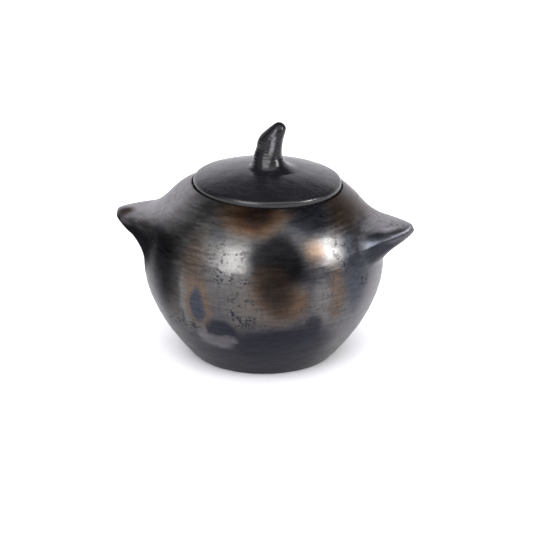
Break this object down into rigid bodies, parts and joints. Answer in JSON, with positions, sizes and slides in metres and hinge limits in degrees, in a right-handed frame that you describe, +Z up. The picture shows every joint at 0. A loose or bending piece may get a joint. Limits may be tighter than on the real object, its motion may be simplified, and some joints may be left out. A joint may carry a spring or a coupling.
{
  "type": "sugar bowl",
  "caption": "Round hand-built clay sugar bowl on a small flat foot, with pinched side lugs and a loose domed lid on an inner ledge, lifted by a horn-shaped knob.",
  "frame": {"origin": "centre of the flat foot, on the table", "axes": "+X through the right lug, towards which the knob leans; +Z up"},
  "size_m": [0.1364, 0.1096, 0.1083],
  "materials": {
    "smoked_clay": "burnished, with a graphite sheen and brown, blue-grey and black smoke clouds",
    "black_clay": "burnished even black, satin"
  },
  "bodies": {
    "bowl": {"bowl_lower": "smoked_clay", "bowl_upper": "smoked_clay", "lid_seat": "smoked_clay", "lug_left": "smoked_clay", "lug_right": "smoked_clay"},
    "lid": {"lid_plate": "black_clay", "knob": "black_clay"}
  },
  "joints": [
    {"name": "lid_lift", "type": "slide", "parent": "bowl", "child": "lid", "axis": [0.0209, 0, 0.9998], "range_m": [0, 0.08]}
  ]
}
